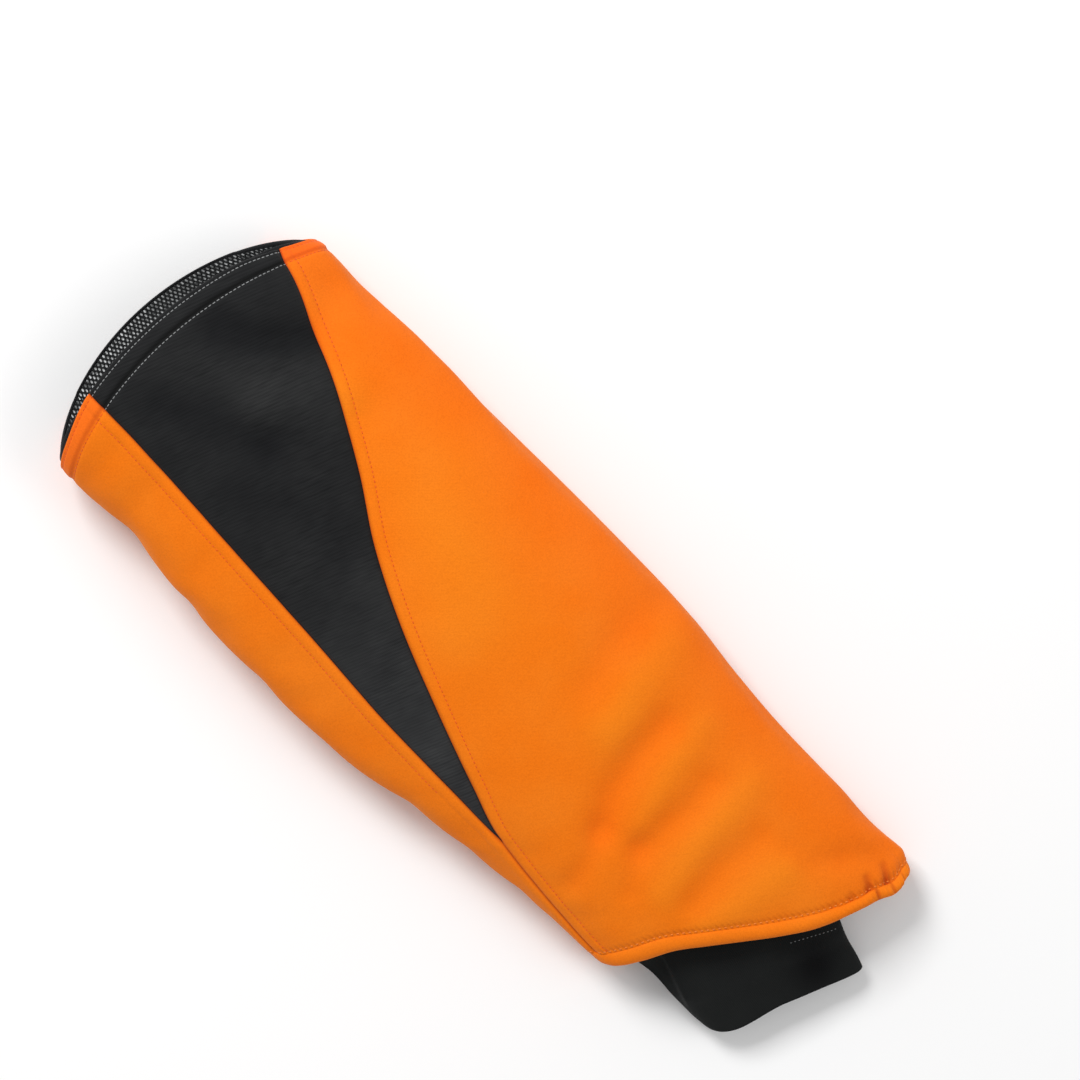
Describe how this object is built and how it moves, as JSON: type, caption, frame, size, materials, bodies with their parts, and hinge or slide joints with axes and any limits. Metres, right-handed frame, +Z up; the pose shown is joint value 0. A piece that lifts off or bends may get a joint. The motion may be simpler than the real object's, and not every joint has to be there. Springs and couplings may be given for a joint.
{
  "type": "cut resistant sleeve",
  "caption": "Padded forearm and upper-arm protective sleeve with a wide open mouth, a slanted elasticated wrist hem and a soft knit cuff, lying on its flat underside.",
  "frame": {"origin": "middle of the underside of the whole sleeve, on the surface it lies on", "axes": "+X from the wide mouth towards the wrist, +Y across towards the longer side of the wrist, +Z up"},
  "size_m": [0.5402, 0.1936, 0.0662],
  "materials": {
    "orange_shell": "brushed matt polyester shell, orange",
    "black_twill": "matt black twill",
    "mesh_lining": "black and light grey open mesh knit",
    "black_tape": "matt black edge tape",
    "black_knit": "smooth black jersey knit"
  },
  "bodies": {
    "root": {"main_panel": "orange_shell", "wedge_panel": "black_twill", "under_panel": "orange_shell", "mesh_lining": "mesh_lining", "mouth_binding": "black_tape", "wrist_hem": "orange_shell", "knit_cuff": "black_knit"}
  },
  "joints": []
}
